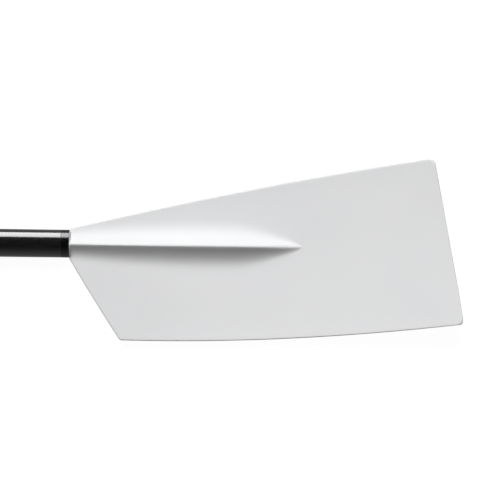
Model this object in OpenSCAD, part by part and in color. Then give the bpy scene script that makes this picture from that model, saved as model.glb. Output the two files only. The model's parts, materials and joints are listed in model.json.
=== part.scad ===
// Sculling oar with a hatchet blade, a split collar on a D-section sleeve and a handle of adjustable length.
// Lengths in millimetres. +X runs from the handle to the blade, +Z out of the blade's ribbed face, +Y to the blade's upper edge.

/* [Blade] */
// Blade length along the shaft's axis, neck to tip
blade_length = 460; // [440:1:480]
// Blade width across the shaft's axis
blade_width = 217; // [205:1:229]
// Thickness of each moulded skin
skin_wall = 1.2; // [1.0:0.1:1.4]
// How far the blade is dished across its width
dish = 3.3; // [0:0.1:6]

/* [Shaft] */
// Distance from the collar's face to the blade's neck
outboard_length = 1540; // [1480:5:1560]
// Distance from the collar's face to the shaft's inboard end
inboard_shaft = 640; // [620:5:660]
// Wall of the shaft tube
shaft_wall = 1.5; // [1.4:0.1:1.8]
// Length of the ring at the blade's neck
ring_length = 9.8; // [6:0.1:14]

/* [Sleeve and collar] */
// Outside radius of the sleeve
sleeve_r = 26.5; // [26.0:0.1:27.0]
// Distance from the axis to the sleeve's flats
sleeve_flat = 22.6; // [22.3:0.1:23.0]
// Radius of the collar's flange
flange_r = 42; // [40:0.5:44]
// Thickness of the collar's flange
flange_t = 6; // [5:0.5:6]
// Distance from the axis to the collar's foot
foot_z = 34; // [33:0.5:36]

/* [Handle] */
// Handle beyond the shaft's end at the middle setting
handle_out = 240; // [220:1:260]
// Radius of the grip
grip_r = 16.75; // [15.5:0.05:17.5]
// Length of the grip
grip_length = 128; // [110:1:140]

/* [Hidden] */

$fn = 96;
eps = 0.01;

neck = outboard_length;
neck_r = 16.3;
mid_r = 18.8;
in_r = 17.6;
spigot_r = 14.75;
shaft_end = neck - ring_length;
sleeve_x0 = -85;
sleeve_x1 = 105;
plate_x0 = 2;
plate_x1 = 92;
plate_t = 1.5;
hole_gap = 0.3;
bore_r = 16.6;
tube_r = 15.9;
grip_tube_r = 13;
ear_z = 34.5;
clamp_x = -inboard_shaft + 10;
clamp_z = 26;
end_x = -inboard_shaft - handle_out;

// ---------- shared shapes ----------

// Cylinder or cone along X from x0 to x1
module rod(x0, x1, r0, r1 = -1) {
  translate([x0, 0, 0]) rotate([0, 90, 0]) cylinder(h = x1 - x0, r1 = r0, r2 = r1 < 0 ? r0 : r1);
}

// Cylinder along Y from y0 to y1 through [x, z]
module pin_y(x, z, y0, y1, r, n = 96) {
  translate([x, y1, z]) rotate([90, 0, 0]) cylinder(h = y1 - y0, r = r, $fn = n);
}

// Socket-head screw along Y, its seat at y0 and its tip at y1
module cap_screw(x, z, y0, y1, shank, head, head_h, socket) {
  difference() {
    union() {
      pin_y(x, z, y1 + 0.6, y0 + eps, shank);
      translate([x, y1 + 0.6, z]) rotate([90, 0, 0]) cylinder(h = 0.6, r1 = shank, r2 = shank - 0.5);
      pin_y(x, z, y0, y0 + head_h - 0.5, head);
      translate([x, y0 + head_h, z]) rotate([90, 0, 0]) cylinder(h = 0.5 + eps, r1 = head - 0.5, r2 = head);
    }
    pin_y(x, z, y0 + head_h * 0.45, y0 + head_h + 1, socket, 6);
  }
}

module washer_y(x, z, y0, t, r_out, r_in) {
  difference() {
    pin_y(x, z, y0, y0 + t, r_out);
    pin_y(x, z, y0 - 1, y0 + t + 1, r_in);
  }
}

module nut_y(x, z, y0, t, r_hex, r_in) {
  difference() {
    pin_y(x, z, y0, y0 + t, r_hex, 6);
    pin_y(x, z, y0 - 1, y0 + t + 1, r_in);
  }
}

// ---------- blade ----------

// Outline and depth are worked out at 460 x 217 mm, then stretched to the set size
ku = blade_length / 460;
kv = blade_width / 217;
dish_k = dish / pow(105, 2);
edge_r = 1.5;
rib_n = 2.6;
rib_wide = 1.75;

function mix(a, b, t) = a + (b - a) * t;
function ease(t) = let(x = min(1, max(0, t))) x * x * (3 - 2 * x);
function bez(a, b, c, t) = a * pow(1 - t, 2) + b * 2 * t * (1 - t) + c * pow(t, 2);

// Edges of the outline: upper, lower, lower near the neck, tip
function up_v(u) = 17.66 + 0.2471 * u - 7.14e-5 * u * u - 6.83e-8 * pow(u, 3);
function lo_v(u) = -110.82 - 0.04267 * u + 2.1005e-4 * u * u - 2.34e-8 * pow(u, 3);
function ne_v(u) = -17.83 - 1.67 * u + 0.001514 * u * u;
function tip_u(v) = 445.2 - (v > 0 ? 0.19 * v : 0.2 * v + 2.02e-4 * v * v);

up_c = [425.2, 104.5];
lo_c = [461.3, -88.05];
ne_c = [60.1, -112.7];
up_a = [419.2, up_v(419.2)];
up_b = [tip_u(98.5), 98.5];
lo_a = [455.3, lo_v(455.3)];
lo_b = [tip_u(-82.05), -82.05];
ne_a = [60.1 * 109 / 112, ne_v(60.1 * 109 / 112)];
ne_b = [63.1, lo_v(63.1)];

// Points on the edges, s and t from 0 to 1
function up_edge(s) = let(p = s * 425.2)
  p < 419.2 ? [p, up_v(p)] : bez(up_a, up_c, up_b, (p - 419.2) / 12);
function up_tip(t) = let(q = t * 104.5)
  q < 98.5 ? [tip_u(q), q] : bez(up_b, up_c, up_a, (q - 98.5) / 12);
function lo_run(s) = let(u = 445.2 * s) u < 93 ? u * 112 / 93 : 112 + (u - 93) * 401.2 / 352.2;
function lo_edge(s) = let(p = lo_run(s), q = p * 60.1 / 112, u = p - 51.9)
  p < 109 ? [q, ne_v(q)] : p < 115 ? bez(ne_a, ne_c, ne_b, (p - 109) / 6) :
  p < 507.2 ? [u, lo_v(u)] : bez(lo_a, lo_c, lo_b, (p - 507.2) / 12);
function lo_tip(t) = let(q = t * 88.05)
  q < 82.05 ? [tip_u(-q), -q] : bez(lo_b, lo_c, lo_a, (q - 82.05) / 12);

function edge_pt(s, side) = side > 0 ? up_edge(s) : lo_edge(s);
function tip_pt(t, side) = side > 0 ? up_tip(t) : lo_tip(t);
function keel_v(u) = -0.4 - 0.0011 * u;
function keel(s) = [445.2 * s, keel_v(445.2 * s)];
function plan(s, t, side) =
  let(k = keel(s), e = edge_pt(s, side), k1 = keel(1), e1 = edge_pt(1, side))
  k + (e - k) * t + (tip_pt(t, side) - k1 - (e1 - k1) * t) * pow(s, 8);

// Distance from the edge of the outline, rounded at the corners
function lean(s, side) = side > 0 ? 0.975 :
  mix(0.52 + 0.2 * min(1, 445.2 * s / 40), 0.98, ease((lo_run(s) - 104) / 16));
function col_len(s, side) = norm(edge_pt(s, side) - keel(s)) * lean(s, side);
function inset(s, t, side) =
  let(a = (1 - t) * col_len(s, side), b = (1 - s) * 436, c = 6)
  a < c && b < c ? max(0, c - sqrt(pow(c - a, 2) + pow(c - b, 2))) : min(a, b);

// Half thickness away from the rib, and the middle surface
function half_t(d) = 0.4 + 1.8 * sqrt(1 - pow(1 - min(d, edge_r) / edge_r, 2)) + 0.8 * ease((d - edge_r) / 60);
function mid_z(u, v) = 3.2 - 0.0836 * u + 1.0e-4 * u * u + 4.6e-7 * pow(u, 3) + dish_k * v * v * ease(u / 200);

// Rib on the face: concave flanks that meet in a narrow crest
function spine_t(u) = half_t(up_v(u) * 0.975);
function crest_z(u) = 16.3 - 0.012 * u - 0.0021 * pow(min(50, max(0, u - 186)), 2) - 0.21 * max(u - 236, 0);
function rib_h(u) = max(0, crest_z(u) - mid_z(u, 0) - spine_t(u));
function rib(u, v) = let(h = rib_h(u), a = v - keel_v(u), c = 2.2 + 1.8 * ease((u - 215) / 50),
    q = (sqrt(a * a + c * c) - c) / max(rib_wide * h, 0.01))
  q >= 1 ? 0 : h * pow(1 - q, rib_n);
function ring_z(v) = abs(v) < neck_r ? sqrt(neck_r * neck_r - v * v) : 0;

// Swelling on the back where the shaft's end is taken in
function back_w(u) = mix(neck_r, 22, ease(u / 60));
function swell(u, v) = let(q = abs(v) / back_w(u), h = (neck_r + mid_z(u, 0) - spine_t(u)) * (1 - ease(u / 190)))
  q >= 1 ? 0 : h * pow(1 - q * q, mix(0.5, 2, ease(u / 60)));

function face_z(u, v, d) = let(m = mid_z(u, v), z = m + half_t(d))
  mix(max(z, ring_z(v)), z + rib(u, v), ease(u / 2));
function back_z(u, v, d) = let(m = mid_z(u, v), z = m - half_t(d))
  mix(abs(v) < neck_r ? min(z, -ring_z(v)) : z, z - swell(u, v), ease(u / 12));
function face_in(u, v, d) = max(face_z(u, v, d) - skin_wall, mid_z(u, v) + 0.05);
function back_in(u, v, d) = min(back_z(u, v, d) + skin_wall, mid_z(u, v) - 0.05);

// Stations along the blade, by keel position, and rows out from the keel
cols = [0, 0.7, 1.4, 2.2, 7, 13, 21, 33, 49, 66, 82, 90.4, 93, 95.6, 106, 124, 146, 168, 186, 200, 213, 225, 236, 246, 255,
  263, 271, 282, 302, 328, 356, 384, 408, 426, 437, 443.67, 444.64, 445.03, 445.2];
core_cols = [for (c = cols) if (c > 1 && c < 440) c];

function row_w(s, side) = min(0.78, max(8, rib_wide * rib_h(445.2 * s)) / abs(edge_pt(s, side)[1]));
function row_t(j, s, side) =
  let(l = col_len(s, side), f = min(1, l / 40), w = row_w(s, side), e = 1 - 8 * f / l)
  j <= 5 ? w * [0, 0.07, 0.18, 0.36, 0.62, 1][j] :
  j <= 8 ? mix(w, max(e, w + 0.02), [0.3, 0.65, 1][j - 6]) :
  1 - [1, 0.37, 0.11, 0][j - 9] * edge_r * f / l;

// One vertex as [u, v, upper z, lower z]: kind 0 face skin, 1 back skin, 2 core
function site(kind, u, v, d) =
  kind == 0 ? [u * ku, v * kv, face_z(u, v, d), face_in(u, v, d)] :
  kind == 1 ? [u * ku, v * kv, back_in(u, v, d), back_z(u, v, d)] :
  [u * ku, v * kv, face_in(u, v, d) - 0.1, back_in(u, v, d) + 0.1];

module slab(kind, us, nr) {
  nc = len(us) - 1;
  nj = 2 * nr + 1;
  sites = [for (i = [0:nc], j = [-nr:nr])
    let(s = us[i] / 445.2, side = j < 0 ? -1 : 1,
      t = row_t(abs(j), s, side),
      p = plan(s, t, side))
    site(kind, p[0], p[1], inset(s, t, side))];
  n = len(sites);
  points = concat([for (p = sites) [p[0], p[1], p[2]]], [for (p = sites) [p[0], p[1], p[3]]]);
  faces = concat(
    [for (i = [0:nc - 1], j = [0:nj - 2]) let(a = i * nj + j, b = a + nj)
      each [[a, a + 1, b + 1], [a, b + 1, b], [n + a, n + b + 1, n + a + 1], [n + a, n + b, n + b + 1]]],
    [for (i = [0:nc - 1]) let(a = i * nj, b = a + nj, c = a + nj - 1, d = c + nj)
      each [[a, b, n + b], [a, n + b, n + a], [c, n + c, n + d], [c, n + d, d]]],
    [for (j = [0:nj - 2]) let(a = j, b = nc * nj + j)
      each [[a, n + a, n + a + 1], [a, n + a + 1, a + 1], [b, b + 1, n + b + 1], [b, n + b + 1, n + b]]]);
  translate([neck, 0, 0]) polyhedron(points = points, faces = faces, convexity = 6);
}

module blade_face_skin() color([0.9, 0.9, 0.91]) slab(0, cols, 12);

module blade_back_skin() color([0.88, 0.88, 0.89]) slab(1, cols, 12);

module blade_core() color([0.85, 0.8, 0.65])
  difference() {
    slab(2, core_cols, 8);
    rod(neck - eps, neck + 86, 9.5, 4.6);
  }

module blade_spigot() color([0.12, 0.12, 0.13]) {
  difference() {
    union() {
      rod(neck - 76, neck, spigot_r);
      rod(neck - eps, neck + 85, 9.4, 4.5);
    }
    rod(neck - 77, neck - 20, spigot_r - 3.5);
  }
}

// ---------- shaft ----------

module neck_ring() color([0.05, 0.05, 0.05])
  difference() {
    rod(shaft_end, neck, neck_r);
    rod(shaft_end - 1, neck + 1, spigot_r + 0.05);
  }

module shaft_tube() color([0.1, 0.1, 0.11])
  difference() {
    union() {
      rod(-inboard_shaft, -inboard_shaft + 40, in_r);
      rod(-inboard_shaft + 40, -100, in_r, mid_r);
      rod(-100, 120, mid_r);
      rod(120, shaft_end, mid_r, neck_r);
    }
    rod(-inboard_shaft - 1, -inboard_shaft + 140, bore_r);
    rod(-inboard_shaft + 140 - eps, -100, bore_r - 0.2, mid_r - shaft_wall);
    rod(-100 - eps, 120, mid_r - shaft_wall);
    rod(120 - eps, neck - 80, mid_r - shaft_wall, spigot_r + 0.05);
    rod(neck - 80 - eps, neck, spigot_r + 0.05);
    for (a = [45, 135])
      rotate([a, 0, 0]) translate([-inboard_shaft - 1, -25, -0.8]) cube([35, 50, 1.6]);
  }

module outboard_bulkhead() color([0.75, 0.75, 0.7]) rod(neck - 100, neck - 84, spigot_r - 0.05);

module inboard_bulkhead() color([0.75, 0.75, 0.7]) rod(-480, -464, 16.3);

// ---------- sleeve ----------

// D section: a round bar of radius r with flats at distance f below and on both sides
module d_bar(x0, x1, r, f) {
  intersection() {
    rod(x0, x1, r);
    translate([x0 - 1, -f, -f]) cube([x1 - x0 + 2, 2 * f, f + r + 1]);
  }
}

module sleeve() color([0.23, 0.23, 0.24])
  difference() {
    union() {
      d_bar(sleeve_x0 + 2, sleeve_x1 - 2, sleeve_r, sleeve_flat);
      intersection() {
        d_bar(sleeve_x0, sleeve_x1, sleeve_r, sleeve_flat);
        union() {
          rod(sleeve_x0, sleeve_x0 + 2 + eps, sleeve_r - 2, sleeve_r);
          rod(sleeve_x1 - 2 - eps, sleeve_x1, sleeve_r, sleeve_r - 2);
        }
      }
    }
    rod(sleeve_x0 - 1, sleeve_x1 + 1, mid_r + 0.05);
    translate([plate_x0 - 0.1, -12.6, -sleeve_flat - 1]) cube([plate_x1 - plate_x0 + 0.2, 25.2, plate_t + 1]);
    for (x = [plate_x0 + 8, plate_x1 - 8], y = [-7.5, 7.5])
      translate([x, y, -sleeve_flat]) cylinder(h = 3.4, r = 1.05, $fn = 32);
    // scale for the collar's setting: a groove every 5 mm
    for (i = [0:8])
      translate([-78 + 5 * i, -(i % 4 == 0 ? 7 : 4.5), 25.3]) cube([0.6, i % 4 == 0 ? 14 : 9, 4]);
  }

module wear_plate() color([0.44, 0.44, 0.45])
  difference() {
    translate([plate_x0, -12.5, -sleeve_flat]) cube([plate_x1 - plate_x0, 25, plate_t]);
    for (x = [plate_x0 + 8, plate_x1 - 8], y = [-7.5, 7.5]) translate([x, y, -sleeve_flat]) {
      translate([0, 0, -1]) cylinder(h = 4, r = 1.3, $fn = 32);
      translate([0, 0, -0.5]) cylinder(h = 1.6, r1 = 3.0, r2 = 1.3, $fn = 32);
    }
  }

module wear_plate_screws() color([0.7, 0.7, 0.72])
  for (x = [plate_x0 + 8, plate_x1 - 8], y = [-7.5, 7.5]) translate([x, y, -sleeve_flat])
    difference() {
      union() {
        translate([0, 0, 0.12]) cylinder(h = 0.9, r1 = 2.25, r2 = 1.2, $fn = 32);
        translate([0, 0, 1]) cylinder(h = 2.3, r = 1.0, $fn = 32);
      }
      translate([-1.2, -0.25, -1]) cube([2.4, 0.5, 1.5]);
      translate([-0.25, -1.2, -1]) cube([0.5, 2.4, 1.5]);
    }

// ---------- collar ----------

module collar_body() color([0.45, 0.46, 0.47])
  difference() {
    intersection() {
      union() {
        rod(-flange_t, -1, flange_r);
        rod(-1 - eps, 0, flange_r, flange_r - 1);
        rod(-28, -flange_t + eps, 31.5);
        rod(-30, -28 + eps, 30.5, 31.5);
        translate([-30, -13, 24]) cube([30 - flange_t + eps, 26, 16.5]);
        for (y = [-22, 22]) hull() {
          translate([-flange_t - 0.5, y - 2, 20]) cube([0.6, 4, 9]);
          translate([-20, y - 2, 18]) cube([0.6, 4, 4]);
        }
      }
      translate([-40, -60, -foot_z]) cube([60, 120, 120]);
    }
    d_bar(-31, 1, sleeve_r + hole_gap, sleeve_flat + hole_gap);
    translate([-32, -1.5, 15]) cube([34, 3, 40]);
    for (x = [-12, -24]) {
      pin_y(x, ear_z, -20, 20, 2.8);
      pin_y(x, ear_z, -14, -8.9, 4.74, 6);
    }
  }

module collar_nuts() color([0.7, 0.7, 0.72])
  for (x = [-12, -24]) nut_y(x, ear_z, -12.9, 4, 4.62, 2.55);

module collar_washer_outer() color([0.8, 0.8, 0.82]) washer_y(-12, ear_z, 13.02, 1, 5, 2.58);
module collar_screw_outer() color([0.6, 0.6, 0.62]) cap_screw(-12, ear_z, 14.05, -12.4, 2.5, 4.25, 5, 2.31);
module collar_washer_inner() color([0.8, 0.8, 0.82]) washer_y(-24, ear_z, 13.02, 1, 5, 2.58);
module collar_screw_inner() color([0.6, 0.6, 0.62]) cap_screw(-24, ear_z, 14.05, -12.4, 2.5, 4.25, 5, 2.31);

// ---------- handle clamp ----------

module handle_bush() color([0.85, 0.85, 0.83])
  difference() {
    union() {
      rod(-inboard_shaft - 2, -inboard_shaft, in_r);
      rod(-inboard_shaft - eps, -inboard_shaft + 60, bore_r - 0.05);
    }
    rod(-inboard_shaft - 3, -inboard_shaft + 61, tube_r + 0.05);
    for (a = [0, 90])
      rotate([a, 0, 0]) translate([-inboard_shaft + 4, -25, -0.6]) cube([60, 50, 1.2]);
  }

module clamp_ring() color([0.4, 0.4, 0.41])
  difference() {
    union() {
      rod(clamp_x - 7, clamp_x + 7, 21.5);
      rod(clamp_x - 8, clamp_x - 7 + eps, 20.5, 21.5);
      rod(clamp_x + 7 - eps, clamp_x + 8, 21.5, 20.5);
      translate([clamp_x - 7, -8, 18.5]) cube([14, 16, 12.5]);
    }
    rod(clamp_x - 9, clamp_x + 9, in_r + 0.02);
    translate([clamp_x - 9, -1, 10]) cube([18, 2, 25]);
    pin_y(clamp_x, clamp_z, -20, 20, 2.3);
    pin_y(clamp_x, clamp_z, -9, -5.4, 4.15, 6);
  }

module clamp_nut() color([0.7, 0.7, 0.72]) nut_y(clamp_x, clamp_z, -8.4, 3, 4.04, 2.05);
module clamp_washer() color([0.8, 0.8, 0.82]) washer_y(clamp_x, clamp_z, 8.02, 0.8, 4.4, 2.08);
module clamp_screw() color([0.6, 0.6, 0.62]) cap_screw(clamp_x, clamp_z, 8.85, -8.1, 2.0, 3.5, 4, 1.74);

// ---------- handle ----------

grip_x1 = end_x + 6 + grip_length;

module handle_tube() color([0.16, 0.16, 0.17])
  difference() {
    union() {
      rod(end_x + 6, grip_x1, grip_tube_r);
      rod(grip_x1 - eps, grip_x1 + 15, grip_tube_r, tube_r);
      rod(grip_x1 + 15 - eps, -inboard_shaft + 94, tube_r);
      rod(-inboard_shaft + 94 - eps, -inboard_shaft + 95, tube_r, tube_r - 0.8);
    }
    rod(end_x, grip_x1 + 4, 11.8);
    rod(grip_x1 + 4 - eps, grip_x1 + 19, 11.8, 14.2);
    rod(grip_x1 + 19 - eps, -inboard_shaft + 96, 14.2);
    difference() {
      rod(-inboard_shaft + 86.7, -inboard_shaft + 88.5, 17);
      rod(-inboard_shaft + 85, -inboard_shaft + 90, 15.2);
    }
    // scale for the handle's setting: a groove every 10 mm
    for (i = [0:4]) difference() {
      rod(-inboard_shaft - 14 - 10 * i, -inboard_shaft - 13.4 - 10 * i, 17);
      rod(-inboard_shaft - 15 - 10 * i, -inboard_shaft - 12 - 10 * i, 15.7);
    }
  }

module grip() color([0.24, 0.3, 0.41])
  difference() {
    union() {
      rod(end_x + 6, end_x + 7.2, grip_r - 1, grip_r);
      rod(end_x + 7.2 - eps, grip_x1 - 2, grip_r);
      rod(grip_x1 - 2 - eps, grip_x1, grip_r, grip_r - 2);
    }
    rod(end_x + 5, grip_x1 + 1, grip_tube_r + 0.05);
  }

module end_cap() color([0.23, 0.23, 0.24]) {
  translate([end_x, 0, 0]) rotate([0, 90, 0]) rotate_extrude()
    union() {
      square([grip_r - 4, 6]);
      translate([0, 4]) square([grip_r, 1]);
      translate([0, 4.9]) square([grip_r - 1, 1.1]);
      intersection() {
        translate([grip_r - 4, 4]) circle(r = 4, $fn = 64);
        square([grip_r + 1, 4.1]);
      }
    }
  difference() {
    rod(end_x + 6 - eps, end_x + 26, 11.75);
    rod(end_x + 8, end_x + 27, 9.6);
  }
}

module handle_plug() color([0.75, 0.75, 0.7]) rod(-inboard_shaft + 78, -inboard_shaft + 93, 14.15);

module handle_seal() color([0.08, 0.08, 0.08])
  translate([-inboard_shaft + 87.6, 0, 0]) rotate([0, 90, 0]) rotate_extrude()
    translate([15.9, 0]) circle(r = 0.65, $fn = 32);

// ---------- nodes ----------

blade_face_skin();
blade_back_skin();
blade_core();
blade_spigot();
neck_ring();
shaft_tube();
outboard_bulkhead();
inboard_bulkhead();
sleeve();
wear_plate();
wear_plate_screws();
collar_body();
collar_nuts();
collar_washer_outer();
collar_screw_outer();
collar_washer_inner();
collar_screw_inner();
handle_bush();
clamp_ring();
clamp_nut();
clamp_washer();
clamp_screw();
handle_tube();
grip();
end_cap();
handle_plug();
handle_seal();
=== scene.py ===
import json
import math

import bmesh
import bpy
import numpy as np
from mathutils import Matrix, Vector

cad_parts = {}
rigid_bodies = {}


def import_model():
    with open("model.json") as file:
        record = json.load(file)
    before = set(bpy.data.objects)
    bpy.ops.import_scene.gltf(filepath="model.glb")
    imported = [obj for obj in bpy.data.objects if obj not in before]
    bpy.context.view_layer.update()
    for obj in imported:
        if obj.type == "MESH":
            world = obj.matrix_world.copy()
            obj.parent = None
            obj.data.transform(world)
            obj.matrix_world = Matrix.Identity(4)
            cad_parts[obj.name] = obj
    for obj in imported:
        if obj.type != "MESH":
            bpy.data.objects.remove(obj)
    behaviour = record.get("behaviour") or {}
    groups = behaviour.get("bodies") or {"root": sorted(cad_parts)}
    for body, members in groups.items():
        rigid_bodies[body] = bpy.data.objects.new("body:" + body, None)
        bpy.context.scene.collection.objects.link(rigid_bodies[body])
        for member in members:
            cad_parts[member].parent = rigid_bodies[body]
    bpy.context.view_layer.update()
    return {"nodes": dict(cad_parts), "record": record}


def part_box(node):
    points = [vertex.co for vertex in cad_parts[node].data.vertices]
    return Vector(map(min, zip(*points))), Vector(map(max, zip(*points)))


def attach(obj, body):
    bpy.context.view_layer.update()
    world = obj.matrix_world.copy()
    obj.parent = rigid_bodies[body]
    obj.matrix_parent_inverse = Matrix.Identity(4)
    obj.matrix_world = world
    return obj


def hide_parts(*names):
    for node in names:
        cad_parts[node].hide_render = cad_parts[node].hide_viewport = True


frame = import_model()
nodes = frame["nodes"]
MM = 0.001
scene = bpy.context.scene

# ---------------------------------------------------------------- sizes, in mm, as in the CAD
NECK = 1540.0
NECK_R = 16.3
MID_R = 18.8
IN_R = 17.6
RING = 9.8
SPIGOT_R = 14.75
SHAFT_IN = -640.0
END_X = -880.0
GRIP_R = 16.75
GRIP_X1 = END_X + 6 + 128
TUBE_R = 15.9
SLEEVE = (-85.0, 105.0, 26.5, 22.6)

# ---------------------------------------------------------------- mesh helpers


def new_mesh(name, verts, faces, sharp_deg=30.0, scale=MM):
    me = bpy.data.meshes.new(name)
    me.from_pydata([tuple(c * scale for c in v) for v in verts], [], faces)
    me.validate()
    me.update()
    ob = bpy.data.objects.new(name, me)
    scene.collection.objects.link(ob)
    shade(ob, sharp_deg)
    return ob


def shade(ob, sharp_deg=30.0):
    """Smooth faces, with sharp edges where faces turn by more than sharp_deg."""
    bm = bmesh.new()
    bm.from_mesh(ob.data)
    bmesh.ops.recalc_face_normals(bm, faces=bm.faces)
    lim = math.radians(sharp_deg)
    for f in bm.faces:
        f.smooth = True
    for e in bm.edges:
        e.smooth = not (len(e.link_faces) != 2 or e.calc_face_angle(0.0) > lim)
    bm.to_mesh(ob.data)
    bm.free()


def lathe(name, profile, seg=128, sharp_deg=30.0, wobble=None):
    """Closed profile of (x, r) in mm turned round the X axis. wobble(x, r, a) may move a point's radius."""
    n = len(profile)
    ang = np.linspace(0, 2 * np.pi, seg, endpoint=False)
    verts = []
    for x, r in profile:
        for a in ang:
            rr = wobble(x, r, a) if wobble else r
            verts.append((x, rr * math.cos(a), rr * math.sin(a)))
    faces = []
    for i in range(n):
        j = (i + 1) % n
        for k in range(seg):
            m = (k + 1) % seg
            faces.append((i * seg + k, i * seg + m, j * seg + m, j * seg + k))
    ob = new_mesh(name, verts, faces, sharp_deg)
    if any(r < 1e-6 for _, r in profile):
        bm = bmesh.new()
        bm.from_mesh(ob.data)
        bmesh.ops.remove_doubles(bm, verts=bm.verts, dist=1e-7)
        bmesh.ops.dissolve_degenerate(bm, edges=bm.edges, dist=1e-8)
        bm.to_mesh(ob.data)
        bm.free()
        shade(ob, sharp_deg)
    return ob


def arc(cx, cr, rad, a0, a1, n=6):
    """Points of an arc in the (x, r) plane, angles in degrees."""
    return [
        (cx + rad * math.cos(math.radians(a)), cr + rad * math.sin(math.radians(a)))
        for a in np.linspace(a0, a1, n)
    ]


def boolean_cut(ob, cutters):
    for c in cutters:
        m = ob.modifiers.new("cut", "BOOLEAN")
        m.operation = "DIFFERENCE"
        m.solver = "EXACT"
        m.object = c
    bpy.context.view_layer.update()
    dg = bpy.context.evaluated_depsgraph_get()
    me = bpy.data.meshes.new_from_object(ob.evaluated_get(dg))
    ob.modifiers.clear()
    old = ob.data
    ob.data = me
    bpy.data.meshes.remove(old)
    for c in cutters:
        bpy.data.objects.remove(c)
    return ob


def box_at(name, lo, hi):
    v = [(x, y, z) for x in (lo[0], hi[0]) for y in (lo[1], hi[1]) for z in (lo[2], hi[2])]
    f = [(0, 1, 3, 2), (4, 6, 7, 5), (0, 4, 5, 1), (2, 3, 7, 6), (0, 2, 6, 4), (1, 5, 7, 3)]
    return new_mesh(name, v, f)


# ---------------------------------------------------------------- material helpers


class Mat:
    """Short hand for a procedural material around one Principled shader."""

    def __init__(self, name, **shader):
        self.m = bpy.data.materials.new(name)
        self.m.use_nodes = True
        self.t = self.m.node_tree
        self.b = self.t.nodes["Principled BSDF"]
        for k, v in shader.items():
            self.b.inputs[k.replace("_", " ")].default_value = v
        self.coord = self.t.nodes.new("ShaderNodeTexCoord").outputs["Object"]

    def node(self, kind, **props):
        n = self.t.nodes.new(kind)
        for k, v in props.items():
            setattr(n, k, v)
        return n

    def link(self, a, b):
        self.t.links.new(a, b)

    def mapping(self, scale=(1, 1, 1), rot=(0, 0, 0), loc=(0, 0, 0), src=None):
        n = self.node("ShaderNodeMapping")
        n.inputs["Scale"].default_value = scale
        n.inputs["Rotation"].default_value = rot
        n.inputs["Location"].default_value = loc
        self.link(src or self.coord, n.inputs["Vector"])
        return n.outputs[0]

    def noise(self, scale, detail=4.0, rough=0.55, vec=None, lac=2.0, dist=0.0):
        n = self.node("ShaderNodeTexNoise")
        n.inputs["Scale"].default_value = scale
        n.inputs["Detail"].default_value = detail
        n.inputs["Roughness"].default_value = rough
        n.inputs["Lacunarity"].default_value = lac
        n.inputs["Distortion"].default_value = dist
        self.link(vec or self.coord, n.inputs["Vector"])
        return n.outputs["Fac"]

    def voronoi(self, scale, vec=None, feature="F1", out="Distance"):
        n = self.node("ShaderNodeTexVoronoi", feature=feature)
        n.inputs["Scale"].default_value = scale
        self.link(vec or self.coord, n.inputs["Vector"])
        return n.outputs[out]

    def wave(self, scale, vec=None, direction="X", dist=0.0, detail=1.0, dscale=1.0, profile="SIN"):
        n = self.node("ShaderNodeTexWave", wave_type="BANDS", bands_direction=direction, wave_profile=profile)
        n.inputs["Scale"].default_value = scale
        n.inputs["Distortion"].default_value = dist
        n.inputs["Detail"].default_value = detail
        n.inputs["Detail Scale"].default_value = dscale
        self.link(vec or self.coord, n.inputs["Vector"])
        return n.outputs["Fac"]

    def math(self, op, a, b=None, c=None, clamp=False):
        n = self.node("ShaderNodeMath", operation=op, use_clamp=clamp)
        for i, x in enumerate((a, b, c)):
            if x is None:
                continue
            if isinstance(x, (int, float)):
                n.inputs[i].default_value = x
            else:
                self.link(x, n.inputs[i])
        return n.outputs[0]

    def ramp(self, fac, stops, interp="LINEAR"):
        n = self.node("ShaderNodeValToRGB")
        n.color_ramp.interpolation = interp
        el = n.color_ramp.elements
        while len(el) < len(stops):
            el.new(0.5)
        for e, (p, c) in zip(el, stops):
            e.position = p
            e.color = (*c, 1) if len(c) == 3 else c
        self.link(fac, n.inputs["Fac"])
        return n.outputs["Color"]

    def remap(self, fac, a, b, lo, hi):
        n = self.node("ShaderNodeMapRange")
        n.inputs["From Min"].default_value = a
        n.inputs["From Max"].default_value = b
        n.inputs["To Min"].default_value = lo
        n.inputs["To Max"].default_value = hi
        self.link(fac, n.inputs["Value"])
        return n.outputs["Result"]

    def mixc(self, fac, a, b, mode="MIX"):
        n = self.node("ShaderNodeMix", data_type="RGBA", blend_type=mode)
        for i, x in ((0, fac), (6, a), (7, b)):
            if isinstance(x, (int, float)):
                n.inputs[i].default_value = x
            elif isinstance(x, tuple):
                n.inputs[i].default_value = (*x, 1)
            else:
                self.link(x, n.inputs[i])
        return n.outputs[2]

    def xyz(self, src=None):
        n = self.node("ShaderNodeSeparateXYZ")
        self.link(src or self.coord, n.inputs[0])
        return n.outputs[0], n.outputs[1], n.outputs[2]

    def color(self, c):
        self.link(c, self.b.inputs["Base Color"])

    def rough(self, r):
        self.link(r, self.b.inputs["Roughness"])

    def bump(self, height, strength, distance, normal=None):
        n = self.node("ShaderNodeBump")
        n.inputs["Strength"].default_value = strength
        n.inputs["Distance"].default_value = distance
        self.link(height, n.inputs["Height"])
        if normal:
            self.link(normal, n.inputs["Normal"])
        return n.outputs[0]

    def normal(self, n):
        self.link(n, self.b.inputs["Normal"])


# ---------------------------------------------------------------- blade shape


def ease(t):
    x = np.clip(t, 0, 1)
    return x * x * (3 - 2 * x)


def mix(a, b, t):
    return a + (b - a) * t


def up_v(u):
    return 17.66 + 0.2471 * u - 7.14e-5 * u * u - 6.83e-8 * u**3


def lo_v(u):
    return -110.82 - 0.04267 * u + 2.1005e-4 * u * u - 2.34e-8 * u**3


def ne_v(u):
    return -17.83 - 1.67 * u + 0.001514 * u * u


def tip_u(v):
    return 445.2 - np.where(v > 0, 0.19 * v, 0.2 * v + 2.02e-4 * v * v)


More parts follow.
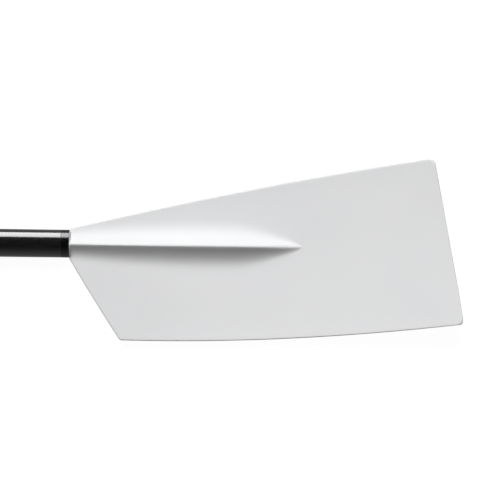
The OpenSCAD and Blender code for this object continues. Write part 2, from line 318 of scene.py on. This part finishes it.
def bez(a, b, c, t):
    a, b, c = (np.asarray(p, float) for p in (a, b, c))
    t = np.asarray(t, float)[..., None]
    return a * (1 - t) ** 2 + b * 2 * t * (1 - t) + c * t**2


UP_C, LO_C, NE_C = (425.2, 104.5), (461.3, -88.05), (60.1, -112.7)
UP_A, UP_B = (419.2, float(up_v(419.2))), (float(tip_u(98.5)), 98.5)
LO_A, LO_B = (455.3, float(lo_v(455.3))), (float(tip_u(-82.05)), -82.05)
NE_A, NE_B = (60.1 * 109 / 112, float(ne_v(60.1 * 109 / 112))), (63.1, float(lo_v(63.1)))


def stack(a, b):
    return np.stack([a, b], -1)


def up_edge(s):
    p = s * 425.2
    return np.where((p < 419.2)[..., None], stack(p, up_v(p)), bez(UP_A, UP_C, UP_B, (p - 419.2) / 12))


def up_tip(t):
    q = t * 104.5
    return np.where((q < 98.5)[..., None], stack(tip_u(q), q), bez(UP_B, UP_C, UP_A, (q - 98.5) / 12))


def lo_run(s):
    u = 445.2 * s
    return np.where(u < 93, u * 112 / 93, 112 + (u - 93) * 401.2 / 352.2)


def lo_edge(s):
    p = lo_run(s)
    q, u = p * 60.1 / 112, p - 51.9
    r = np.where((p < 109)[..., None], stack(q, ne_v(q)), bez(NE_A, NE_C, NE_B, (p - 109) / 6))
    r = np.where((p < 115)[..., None], r, stack(u, lo_v(u)))
    return np.where((p < 507.2)[..., None], r, bez(LO_A, LO_C, LO_B, (p - 507.2) / 12))


def lo_tip(t):
    q = t * 88.05
    return np.where((q < 82.05)[..., None], stack(tip_u(-q), -q), bez(LO_B, LO_C, LO_A, (q - 82.05) / 12))


def edge_pt(s, side):
    return up_edge(s) if side > 0 else lo_edge(s)


def tip_pt(t, side):
    return up_tip(t) if side > 0 else lo_tip(t)


def keel_v(u):
    return -0.4 - 0.0011 * u


def keel(s):
    return stack(445.2 * s, keel_v(445.2 * s))


def plan(s, t, side):
    one = np.ones_like(s)
    k, e, k1, e1 = keel(s), edge_pt(s, side), keel(one), edge_pt(one, side)
    t2 = t[..., None]
    return k + (e - k) * t2 + (tip_pt(t, side) - k1 - (e1 - k1) * t2) * s[..., None] ** 8


def lean(s, side):
    if side > 0:
        return 0.975 + 0 * s
    return mix(0.52 + 0.2 * np.minimum(1, 445.2 * s / 40), 0.98, ease((lo_run(s) - 104) / 16))


def col_len(s, side):
    return np.linalg.norm(edge_pt(s, side) - keel(s), axis=-1) * lean(s, side)


def inset(s, t, side):
    a, b, c = (1 - t) * col_len(s, side), (1 - s) * 436, 6.0
    rnd = np.maximum(0, c - np.sqrt((c - a) ** 2 + (c - b) ** 2))
    return np.where((a < c) & (b < c), rnd, np.minimum(a, b))


def half_t(d):
    e = np.minimum(d, 1.5) / 1.5
    return 0.4 + 1.8 * np.sqrt(np.maximum(0, 1 - (1 - e) ** 2)) + 0.8 * ease((d - 1.5) / 60)


def mid_z(u, v):
    return 3.2 - 0.0836 * u + 1.0e-4 * u**2 + 4.6e-7 * u**3 + (3.3 / 105**2) * v * v * ease(u / 200)


def spine_t(u):
    return half_t(up_v(u) * 0.975)


EDGE = 1.5
RIB_N = 2.6
RIB_WIDE = 1.75


def crest_z(u):
    a = np.clip(u - 186, 0, 50)
    return 16.3 - 0.012 * u - 0.0021 * a * a - 0.21 * np.maximum(u - 236, 0)


def rib_h(u):
    return np.maximum(0, crest_z(u) - mid_z(u, 0 * u) - spine_t(u))


def rib_w(u):
    return RIB_WIDE * rib_h(u)


def rib(u, v):
    """Concave flanks that meet in a narrow crest."""
    soft = 2.2 + 1.8 * ease((u - 215) / 50)
    h = rib_h(u)
    w = v - keel_v(u)
    q = (np.sqrt(w * w + soft * soft) - soft) / np.maximum(RIB_WIDE * h, 0.01)
    return h * np.maximum(1 - q, 0) ** RIB_N


def ring_z(v):
    return np.sqrt(np.maximum(0, NECK_R**2 - v * v))


def swell(u, v):
    w = mix(NECK_R, 22.0, ease(u / 60))
    q = np.abs(v) / w
    h = (NECK_R + mid_z(u, 0 * u) - spine_t(u)) * (1 - ease(u / 190))
    return np.where(q >= 1, 0, h * np.maximum(1 - q * q, 0) ** mix(0.5, 2.0, ease(u / 60)))


def face_z(u, v, d):
    z = mid_z(u, v) + half_t(d)
    return mix(np.maximum(z, ring_z(v)), z + rib(u, v), ease(u / 2))


def back_z(u, v, d):
    z = mid_z(u, v) - half_t(d)
    return mix(np.where(np.abs(v) < NECK_R, np.minimum(z, -ring_z(v)), z), z - swell(u, v), ease(u / 12))


def blade_grid():
    """Stations and rows of the fine blade mesh: plan position and distance from the edge."""
    edge_d = [EDGE * (1 - math.cos(a)) for a in np.linspace(math.pi / 2, 0, 9)]  # EDGE .. 0
    us = np.concatenate([
        np.linspace(0, 2.4, 11)[:-1], np.linspace(2.4, 12, 12)[:-1], np.linspace(12, 82, 29)[:-1], np.linspace(82, 105, 24)[:-1],
        np.linspace(105, 230, 56)[:-1], np.linspace(230, 285, 50)[:-1], np.linspace(285, 430, 50)[:-1],
        np.linspace(430, 445.2 - EDGE * 445.2 / 436, 10)[:-1], [445.2 - d * 445.2 / 436 for d in edge_d]])
    s = us / 445.2
    sides = {}
    for side in (1, -1):
        length = col_len(s, side)
        f = np.minimum(1, length / 40)
        w = np.minimum(0.78, np.maximum(8, rib_w(us)) / np.abs(edge_pt(s, side)[:, 1]))
        t_r = np.linspace(0, 1, 23) ** 1.35
        e = 1 - EDGE * f / length
        rows = [w * k for k in t_r]
        rows += [mix(w, np.maximum(e, w + 0.02), k) for k in np.linspace(0, 1, 26)[1:]]
        rows += [1 - d * f / length for d in edge_d[1:]]
        sides[side] = np.array(rows)
    return us, s, sides


def blade_skin(name, top):
    us, s, sides = blade_grid()
    nr = sides[1].shape[0]
    outer, inner = [], []
    for j in range(-(nr - 1), nr):
        side = -1 if j < 0 else 1
        t = sides[side][abs(j)]
        p = plan(s, t, side)
        u, v = p[:, 0], p[:, 1]
        d = inset(s, t, side)
        m = mid_z(u, v)
        if top:
            zo = face_z(u, v, d)
            zi = np.maximum(zo - 1.2, m + 0.02)
        else:
            zo = back_z(u, v, d)
            zi = np.minimum(zo + 1.2, m - 0.02)
        outer.append(np.stack([u + NECK, v, zo], -1))
        inner.append(np.stack([u + NECK, v, zi], -1))
    lo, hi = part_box("blade_face_skin" if top else "blade_back_skin")
    return shell(name, np.array(outer), np.array(inner), lo, hi)


def blade_core(name):
    """Foam between the skins, a little clear of both, with the hole for the spigot."""
    us, s, sides = blade_grid()
    keep = [i for i in range(1, len(us)) if us[i] < 440 and (i % 2 == 1 or us[i] < 90)]
    us, s = us[keep], s[keep]
    sides = {k: v[:49:2, keep] for k, v in sides.items()}
    nr = sides[1].shape[0]
    over, under = [], []
    for j in range(-(nr - 1), nr):
        side = -1 if j < 0 else 1
        t = np.minimum(sides[side][abs(j)], 1 - 7 * np.minimum(1, col_len(s, side) / 40) / col_len(s, side))
        p = plan(s, t, side)
        u, v, d = p[:, 0], p[:, 1], inset(s, t, side)
        m = mid_z(u, v)
        over.append(np.stack([u + NECK, v, np.maximum(face_z(u, v, d) - 1.6, m + 0.1)], -1))
        under.append(np.stack([u + NECK, v, np.minimum(back_z(u, v, d) + 1.6, m - 0.1)], -1))
    lo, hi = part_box("blade_core")
    core = shell(name, np.array(over), np.array(under), lo, hi)
    hole = lathe("cut", [(NECK - 1, 0), (NECK - 1, 9.56), (NECK + 86, 4.6), (NECK + 86, 0)], 64)
    boolean_cut(core, [hole])
    shade(core, 50)
    return core


def shell(name, o, n, lo, hi):
    """Closed body between an upper and a lower grid (rows, columns, xyz), kept within a box."""
    nj, ni = o.shape[:2]
    verts = np.concatenate([o.reshape(-1, 3), n.reshape(-1, 3)])
    verts = np.clip(verts, np.array(lo) / MM + 0.004, np.array(hi) / MM - 0.004)
    off = nj * ni
    faces = []
    for j in range(nj - 1):
        for i in range(ni - 1):
            a, b, c, e = j * ni + i, j * ni + i + 1, (j + 1) * ni + i + 1, (j + 1) * ni + i
            faces.append((a, b, c, e))
            faces.append((off + a, off + e, off + c, off + b))
    for i in range(ni - 1):
        a, b = i, i + 1
        faces.append((a, off + a, off + b, b))
        a, b = (nj - 1) * ni + i, (nj - 1) * ni + i + 1
        faces.append((a, b, off + b, off + a))
    for j in range(nj - 1):
        a, b = j * ni, (j + 1) * ni
        faces.append((a, b, off + b, off + a))
        a, b = j * ni + ni - 1, (j + 1) * ni + ni - 1
        faces.append((a, off + a, off + b, b))
    return new_mesh(name, verts.tolist(), faces, sharp_deg=50)


# ---------------------------------------------------------------- materials


def gelcoat():
    """Sprayed blade finish: nearly flat, with orange peel, faint mottling and scuffs in its roughness."""
    m = Mat("blade_gelcoat", Specular_IOR_Level=0.14, Coat_Weight=0.0)
    broad = m.noise(6.0, 3, 0.5)
    fine = m.noise(90.0, 4, 0.6)
    base = m.ramp(broad, [(0.3, (0.70, 0.703, 0.712)), (0.7, (0.722, 0.724, 0.73))])
    base = m.mixc(m.remap(fine, 0.35, 0.7, 0.0, 0.06), base, (0.64, 0.645, 0.655))
    m.color(base)
    scuff = m.noise(240.0, 6, 0.7, vec=m.mapping(scale=(0.25, 1.0, 1.0)))
    m.rough(m.remap(m.math("ADD", fine, m.math("MULTIPLY", scuff, 0.5)), 0.5, 1.1, 0.4, 0.55))
    peel = m.noise(420.0, 2, 0.4)
    n1 = m.bump(peel, 0.06, 0.0006)
    m.normal(n1)
    return m.m


def carbon(name, base=(0.0055, 0.0055, 0.006), rough=0.18, weave=1.0):
    """Clear-coated wound carbon: spiral tape courses with fine fibres under gloss."""
    m = Mat(name, Specular_IOR_Level=0.9, Coat_Weight=1.0, Coat_Roughness=0.1)
    x, y, z = m.xyz()
    ang = m.math("ARCTAN2", y, z)
    turn = m.math("MULTIPLY", ang, 1 / (2 * math.pi))
    spiral = m.math("FRACT", m.math("ADD", m.math("MULTIPLY", x, 18.0), turn))
    course = m.math("PINGPONG", spiral, 0.5)
    comb = m.node("ShaderNodeCombineXYZ")
    m.link(x, comb.inputs[0])
    m.link(m.math("MULTIPLY", ang, 0.018), comb.inputs[1])
    fib = m.noise(900.0, 3, 0.6, vec=m.mapping(scale=(0.05, 1.0, 1.0), src=comb.outputs[0]))
    dark = m.ramp(fib, [(0.3, tuple(c * 0.6 for c in base)), (0.75, tuple(c * (1 + 1.2 * weave) for c in base))])
    edge = m.remap(course, 0.0, 0.05, 1.0, 0.0)
    m.color(m.mixc(m.math("MULTIPLY", edge, 0.35), dark, tuple(c * 2.2 for c in base)))
    smear = m.noise(35.0, 4, 0.6)
    m.rough(m.remap(smear, 0.3, 0.7, rough * 0.85, rough * 1.25))
    m.normal(m.bump(m.math("ADD", m.math("MULTIPLY", fib, 0.3), m.math("MULTIPLY", course, 0.6)), 0.05, 0.0004))
    return m.m


def plastic(name, base, rough=0.45, grain=1200.0, grain_bump=0.12, spec=0.5):
    """Moulded plastic: fine spark-eroded grain, slight mottling, worn patches a little smoother."""
    m = Mat(name, Specular_IOR_Level=spec)
    broad = m.noise(22.0, 4, 0.55)
    fine = m.noise(grain, 3, 0.6)
    c0 = tuple(c * 0.82 for c in base)
    c1 = tuple(min(1, c * 1.16 + 0.002) for c in base)
    m.color(m.mixc(m.remap(fine, 0.4, 0.75, 0.0, 0.35), m.ramp(broad, [(0.3, c0), (0.7, c1)]), tuple(min(1, c * 1.35 + 0.004) for c in base)))
    m.rough(m.remap(m.math("ADD", broad, m.math("MULTIPLY", fine, 0.4)), 0.45, 1.0, rough * 0.82, rough * 1.2))
    m.normal(m.bump(fine, grain_bump, 0.0002))
    return m.m


def metal(name, base=(0.56, 0.56, 0.57), rough=0.28, brush="Y"):
    """Turned or brushed metal: fine lines round the part, faint stains."""
    m = Mat(name, Metallic=1.0)
    sc = {"Y": (60.0, 1400.0, 60.0), "X": (1400.0, 60.0, 60.0), "N": (300.0, 300.0, 300.0)}[brush]
    lines = m.noise(1.0, 4, 0.6, vec=m.mapping(scale=sc))
    stain = m.noise(120.0, 4, 0.6)
    m.color(m.ramp(stain, [(0.3, tuple(c * 0.86 for c in base)), (0.65, base)]))
    m.rough(m.remap(lines, 0.3, 0.7, rough * 0.75, rough * 1.35))
    m.normal(m.bump(lines, 0.08, 0.0001))
    return m.m


def foam(name, base):
    m = Mat(name, Roughness=0.9, Specular_IOR_Level=0.2)
    cells = m.voronoi(700.0)
    tone = m.noise(40.0, 4, 0.6)
    m.color(m.mixc(m.remap(cells, 0.0, 0.5, 0.35, 0.0), m.ramp(tone, [(0.3, tuple(c * 0.85 for c in base)), (0.7, base)]), tuple(c * 0.6 for c in base)))
    m.normal(m.bump(cells, 0.3, 0.0006))
    return m.m


def rubber(name, base, rough=0.7):
    m = Mat(name, Specular_IOR_Level=0.35)
    tone = m.noise(60.0, 5, 0.6)
    fine = m.noise(1500.0, 3, 0.6)
    dust = m.noise(14.0, 4, 0.6)
    c = m.ramp(tone, [(0.3, tuple(k * 0.8 for k in base)), (0.7, tuple(k * 1.15 for k in base))])
    m.color(m.mixc(m.remap(dust, 0.5, 0.8, 0.0, 0.12), c, (0.16, 0.155, 0.15)))
    m.rough(m.remap(fine, 0.3, 0.7, rough * 0.88, min(1.0, rough * 1.15)))
    m.normal(m.bump(fine, 0.2, 0.0002))
    return m.m


MATS = {
    "blade_gelcoat": gelcoat(),
    "core_foam": foam("core_foam", (0.78, 0.72, 0.55)),
    "carbon_laminate": carbon("carbon_laminate"),
    "ring_black": plastic("ring_black", (0.0008, 0.0008, 0.0009), 0.2, spec=0.9),
    "plug_foam": foam("plug_foam", (0.7, 0.7, 0.66)),
    "sleeve_plastic": plastic("sleeve_plastic", (0.045, 0.045, 0.048), 0.42),
    "wear_plastic": plastic("wear_plastic", (0.16, 0.16, 0.165), 0.36),
    "collar_plastic": plastic("collar_plastic", (0.17, 0.175, 0.185), 0.45),
    "stainless": metal("stainless"),
    "bush_plastic": plastic("bush_plastic", (0.70, 0.69, 0.64), 0.4),
    "clamp_metal": metal("clamp_metal", (0.13, 0.13, 0.137), 0.38, "X"),
    "grip_rubber": rubber("grip_rubber", (0.045, 0.075, 0.14)),
    "cap_rubber": rubber("cap_rubber", (0.045, 0.045, 0.047), 0.6),
    "seal_rubber": rubber("seal_rubber", (0.015, 0.015, 0.015), 0.5),
}
SLOT_OF = {s["node"]: s["material_slot"] for s in frame["record"]["subparts"]} if "subparts" in frame["record"] else {}


def dress(ob, slot):
    ob.data.materials.clear()
    ob.data.materials.append(MATS[slot])
    return ob


def piece(ob, body, slot, *stands_for):
    dress(ob, slot)
    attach(ob, body)
    if stands_for:
        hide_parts(*stands_for)
    return ob


# ---------------------------------------------------------------- pieces

REPLACED = ("blade_face_skin", "blade_back_skin", "blade_core", "shaft_tube", "neck_ring", "sleeve", "handle_tube", "grip")
# eased corners, in mm, how many steps each takes, and whether short edges hold them back
EDGES = {
    "collar_body": (0.3, 3, False),
    "clamp_ring": (0.3, 3, False),
    "wear_plate": (0.3, 2),
    "wear_plate_screws": (0.06, 1),
    "collar_washer_outer": (0.15, 2),
    "collar_washer_inner": (0.15, 2),
    "clamp_washer": (0.12, 2),
    "collar_screw_outer": (0.25, 2),
    "collar_screw_inner": (0.25, 2),
    "clamp_screw": (0.2, 2),
    "end_cap": (0.4, 2),
}


def smooth_group():
    """Shades smooth, but keeps edges sharp where the faces turn by more than the angle."""
    g = bpy.data.node_groups.new("smooth_by_angle", "GeometryNodeTree")
    g.interface.new_socket("Geometry", in_out="INPUT", socket_type="NodeSocketGeometry")
    g.interface.new_socket("Geometry", in_out="OUTPUT", socket_type="NodeSocketGeometry")
    a, b = g.nodes.new("NodeGroupInput"), g.nodes.new("NodeGroupOutput")
    s1, s2 = g.nodes.new("GeometryNodeSetShadeSmooth"), g.nodes.new("GeometryNodeSetShadeSmooth")
    s2.domain = "EDGE"
    ang, gt = g.nodes.new("GeometryNodeInputMeshEdgeAngle"), g.nodes.new("FunctionNodeCompare")
    gt.data_type, gt.operation = "FLOAT", "GREATER_THAN"
    gt.inputs["B"].default_value = math.radians(34)
    g.links.new(a.outputs[0], s1.inputs["Geometry"])
    g.links.new(s1.outputs[0], s2.inputs["Geometry"])
    g.links.new(ang.outputs["Unsigned Angle"], gt.inputs["A"])
    g.links.new(gt.outputs[0], s2.inputs["Selection"])
    s2.inputs["Shade Smooth"].default_value = False
    g.links.new(s2.outputs[0], b.inputs[0])
    return g


SMOOTH = smooth_group()


def finish_node(ob, width, steps, held=True):
    """Modifiers only: join split corners, merge flat facets, ease the edges, shade smooth."""
    m = ob.modifiers.new("weld", "WELD")
    m.merge_threshold = 1e-5
    m = ob.modifiers.new("flats", "DECIMATE")
    m.decimate_type = "DISSOLVE"
    m.angle_limit = math.radians(0.4)
    if not held:
        # a free bevel folds a large ring-shaped face over its own hole
        m = ob.modifiers.new("split", "TRIANGULATE")
        m.min_vertices = 5
    m = ob.modifiers.new("eased", "BEVEL")
    m.width = width * MM
    m.segments = steps
    m.limit_method = "ANGLE"
    m.angle_limit = math.radians(32 if held else 50)
    m.use_clamp_overlap = held
    m = ob.modifiers.new("shade", "NODES")
    m.node_group = SMOOTH
    m = ob.modifiers.new("normals", "WEIGHTED_NORMAL")
    m.keep_sharp = True


def soften(ob, width, steps, deg):
    """The same easing for a piece of this scene, applied to its mesh."""
    for kind in ("WELD", "BEVEL"):
        m = ob.modifiers.new(kind, kind)
        if kind == "WELD":
            m.merge_threshold = 2e-6
        else:
            m.width = width * MM
            m.segments = steps
            m.limit_method = "ANGLE"
            m.angle_limit = math.radians(deg)
    bpy.context.view_layer.update()
    me = bpy.data.meshes.new_from_object(ob.evaluated_get(bpy.context.evaluated_depsgraph_get()))
    ob.modifiers.clear()
    old, ob.data = ob.data, me
    bpy.data.meshes.remove(old)
    shade(ob, 34)


face = piece(blade_skin("blade_face", True), "oar", "blade_gelcoat", "blade_face_skin")
back = piece(blade_skin("blade_back", False), "oar", "blade_gelcoat", "blade_back_skin")

core = piece(blade_core("blade_core_piece"), "oar", "core_foam", "blade_core")

shaft_end = NECK - RING
n_ax = 24
outer = [(SHAFT_IN, IN_R - 0.3), (SHAFT_IN + 0.3, IN_R), (SHAFT_IN + 40, IN_R), (-100, MID_R), (120, MID_R)]
outer += [(x, MID_R + (NECK_R - MID_R) * (x - 120) / (shaft_end - 120)) for x in np.linspace(120, shaft_end - 0.25, n_ax)[1:]]
outer += [(shaft_end, NECK_R - 0.2)]
inner = [(shaft_end, 14.8), (NECK - 80, 14.8), (120, 17.3), (-100, 17.3), (-500, 16.4), (-500.1, 16.6), (SHAFT_IN, 16.6)]
shaft = lathe("shaft", outer + inner, 160, 35)
cuts = []
for a in (45, 135):
    c = box_at("cut", (SHAFT_IN - 1, -25, -0.8), (SHAFT_IN + 34, 25, 0.8))
    c.data.transform(Matrix.Rotation(math.radians(a), 4, "X"))
    cuts.append(c)
boolean_cut(shaft, cuts)
shade(shaft, 35)
piece(shaft, "oar", "carbon_laminate", "shaft_tube")

ring = lathe(
    "neck_ring_piece",
    [(shaft_end + 0.02, 14.8), (shaft_end + 0.02, NECK_R - 0.25), (shaft_end + 0.3, NECK_R), (NECK - 0.35, NECK_R), (NECK - 0.02, NECK_R - 0.3), (NECK - 0.02, 14.8)],
    160, 20)
piece(ring, "oar", "ring_black", "neck_ring")

# sleeve: a round bar with three flats, a let-in plate and the collar's scale
x0, x1, r, f = SLEEVE
sleeve = lathe(
    "sleeve_piece",
    [(x0, r - 2), (x0 + 1.8, r - 0.2)] + arc(x0 + 2.25, r - 0.25, 0.25, 135, 90, 3) + arc(x1 - 2.25, r - 0.25, 0.25, 90, 45, 3)
    + [(x1 - 1.8, r - 0.2), (x1, r - 2), (x1, 19.1), (x1 - 0.25, 18.85), (x0 + 0.25, 18.85), (x0, 19.1)],
    240, 25)
cuts = [
    box_at("cut", (x0 - 5, -40, -40), (x1 + 5, 40, -f)),
    box_at("cut", (x0 - 5, f, -39), (x1 + 5, 41, 39)),
    box_at("cut", (x0 - 5, -41, -39), (x1 + 5, -f, 39)),
    box_at("cut", (1.9, -12.6, -30), (92.1, 12.6, -21.1)),
]
for i in range(9):
    h = 7 if i % 4 == 0 else 4.5
    cuts.append(box_at("cut", (-78 + 5 * i, -h, 25.3), (-77.4 + 5 * i, h, 32)))
boolean_cut(sleeve, cuts)
soften(sleeve, 0.35, 3, 24)
piece(sleeve, "oar", "sleeve_plastic", "sleeve")

# handle tube, stepped down under the grip, with the scale for its setting
out = [(END_X + 6.3, 13.0), (GRIP_X1 + 0.3, 13.0), (GRIP_X1 + 15, TUBE_R)]
for i in (4, 3, 2, 1, 0):
    a = SHAFT_IN - 14 - 10 * i
    out += [(a, TUBE_R), (a + 0.06, 15.72), (a + 0.3, 15.7), (a + 0.54, 15.72), (a + 0.6, TUBE_R)]
g0, g1 = SHAFT_IN + 86.7, SHAFT_IN + 88.5
out += [(g0, TUBE_R), (g0 + 0.15, 15.3), (g0 + 0.35, 15.2), (g1 - 0.35, 15.2), (g1 - 0.15, 15.3), (g1, TUBE_R)]
out += [(SHAFT_IN + 94, TUBE_R), (SHAFT_IN + 95, TUBE_R - 0.8)]
ins = [(SHAFT_IN + 95, 14.2), (GRIP_X1 + 19, 14.2), (GRIP_X1 + 4, 11.8), (END_X + 6, 11.8), (END_X + 6, 12.7)]
tube = lathe("handle_tube_piece", out + ins, 160, 30)
piece(tube, "handle", "carbon_laminate", "handle_tube")

# grip: moulded rubber with shallow rings between plain bands
def grip_r(x):
    t = (x - (END_X + 6)) / 128
    k = ease(min(1, max(0, (t - 0.045) / 0.03))) * ease(min(1, max(0, (0.93 - t) / 0.03)))
    w = 0.5 - 0.5 * math.cos(2 * math.pi * (x - END_X) / 4.0)
    return GRIP_R - 0.02 - 0.55 * float(k) * w**0.7


xs = np.linspace(END_X + 7.4, GRIP_X1 - 2.4, 500)
grip = lathe(
    "grip_piece",
    [(END_X + 6.02, 13.1), (END_X + 6.02, GRIP_R - 1.0)] + arc(END_X + 7.2, GRIP_R - 1.2, 1.18, 170, 95, 5)
    + [(float(x), grip_r(x)) for x in xs] + arc(GRIP_X1 - 2.3, GRIP_R - 2.3, 2.28, 85, 5, 8)
    + [(GRIP_X1 - 0.02, 13.6), (GRIP_X1 - 0.4, 13.1)],
    160, 40)
piece(grip, "handle", "grip_rubber", "grip")

# the other nodes: corners eased and shaded smooth, materials by slot
for name, ob in nodes.items():
    if name not in REPLACED:
        dress(ob, SLOT_OF[name])
        finish_node(ob, *EDGES.get(name, (0.15, 2)))

# ---------------------------------------------------------------- floor, light, camera

# the oar lies on its collar's foot and on the lowest line of the blade's back
foot = (0.0, -34.0)
co = np.empty(len(back.data.vertices) * 3, np.float32)
back.data.vertices.foreach_get("co", co)
co = co.reshape(-1, 3) / MM
slope = float(np.arctan(np.min((co[:, 2] - foot[1]) / (co[:, 0] - foot[0]))))
bpy.ops.mesh.primitive_plane_add(size=1)
floor = bpy.context.object
floor.name = "floor"
floor.scale = (120, 120, 1)
floor.rotation_euler = (0, -slope, 0)
floor.location = (0, 0, (foot[1] - foot[0] * math.tan(slope)) * MM - 0.0003)
fm = Mat("floor_white", Roughness=0.9, Specular_IOR_Level=0.1)
fm.color(fm.ramp(fm.noise(0.8, 3, 0.5), [(0.3, (0.075, 0.075, 0.075)), (0.7, (0.08, 0.08, 0.08))]))
fm.b.inputs["Emission Color"].default_value = (1, 1, 1, 1)
fm.b.inputs["Emission Strength"].default_value = 0.96
fm.normal(fm.bump(fm.noise(60.0, 3, 0.5), 0.02, 0.0005))
floor.data.materials.append(fm.m)
floor.visible_diffuse = False
floor.visible_glossy = False
floor.visible_shadow = False

world = bpy.data.worlds.new("studio")
scene.world = world
world.use_nodes = True
wt = world.node_tree
bg = wt.nodes["Background"]
lp = wt.nodes.new("ShaderNodeLightPath")
bg.inputs["Color"].default_value = (1, 1, 1, 1)
# white behind the object, a little fill for diffuse light, and for gloss a grey that fades towards the zenith
way = wt.nodes.new("ShaderNodeTexCoord")
parts = wt.nodes.new("ShaderNodeSeparateXYZ")
wt.links.new(way.outputs["Generated"], parts.inputs[0])
fade = wt.nodes.new("ShaderNodeMapRange")
wt.links.new(parts.outputs[2], fade.inputs["Value"])
for k, v in (("From Min", 0.0), ("From Max", 0.9), ("To Min", 0.22), ("To Max", 0.012)):
    fade.inputs[k].default_value = v
pick = wt.nodes.new("ShaderNodeMix")
pick.data_type = "FLOAT"
wt.links.new(lp.outputs["Is Glossy Ray"], pick.inputs[0])
pick.inputs[2].default_value = 0.11
wt.links.new(fade.outputs["Result"], pick.inputs[3])
show = wt.nodes.new("ShaderNodeMix")
show.data_type = "FLOAT"
wt.links.new(lp.outputs["Is Camera Ray"], show.inputs[0])
wt.links.new(pick.outputs[0], show.inputs[2])
show.inputs[3].default_value = 1.0
wt.links.new(show.outputs[0], bg.inputs["Strength"])


def sun(name, zenith, azimuth, angle, strength, diffuse=True, glossy=True):
    """zenith from +Z, azimuth from +Y towards +X, in degrees."""
    d = bpy.data.lights.new(name, "SUN")
    d.energy = strength
    d.angle = math.radians(angle)
    o = bpy.data.objects.new(name, d)
    scene.collection.objects.link(o)
    z, a = math.radians(zenith), math.radians(azimuth)
    to = Vector((math.sin(z) * math.sin(a), math.sin(z) * math.cos(a), math.cos(z)))
    o.rotation_mode = "QUATERNION"
    o.rotation_quaternion = to.to_track_quat("Z", "Y")
    o.location = to * 3
    o.visible_diffuse = diffuse
    o.visible_glossy = glossy
    return o


sun("key", 41, -14, 32, 3.64, True, False)
sun("under", 150, 190, 60, 2.6, True, False)
sun("strip", 76.5, 0, 46, 3.0, False, True)

# a soft fill from the lower side for the fittings, which the photograph doesn't show
fill = sun("fill", 62, 195, 70, 1.5, True, True)
lit = bpy.data.collections.new("fill_lit")
for ob in scene.objects:
    if ob.type == "MESH" and ob not in (face, back, shaft, ring, floor) and not ob.hide_render:
        lit.objects.link(ob)
fill.light_linking.receiver_collection = lit

PX = 1.17
cam_data = bpy.data.cameras.new("camera")
cam = bpy.data.objects.new("camera", cam_data)
scene.collection.objects.link(cam)
scene.camera = cam
cam_data.lens = 200
cam_data.sensor_width = 36
width = 500 * PX * MM
dist = width * 200 / 36
cx = NECK * MM + (250 - 69.3) * PX * MM
cy = (243.68 - 250) * PX * MM
roll = 0.0125
# the photo's X axis is turned clockwise by roll, about the blade's neck
ux, uy = (250 - 69.3) * PX * MM, (243.68 - 250) * PX * MM
cx = NECK * MM + ux * math.cos(roll) - uy * math.sin(roll)
cy = ux * math.sin(roll) + uy * math.cos(roll)
cam.location = (cx, cy, 0.010 + dist)
cam.rotation_euler = (0, 0, roll)
cam_data.clip_end = 200

scene.view_settings.view_transform = "Standard"
scene.view_settings.look = "None"
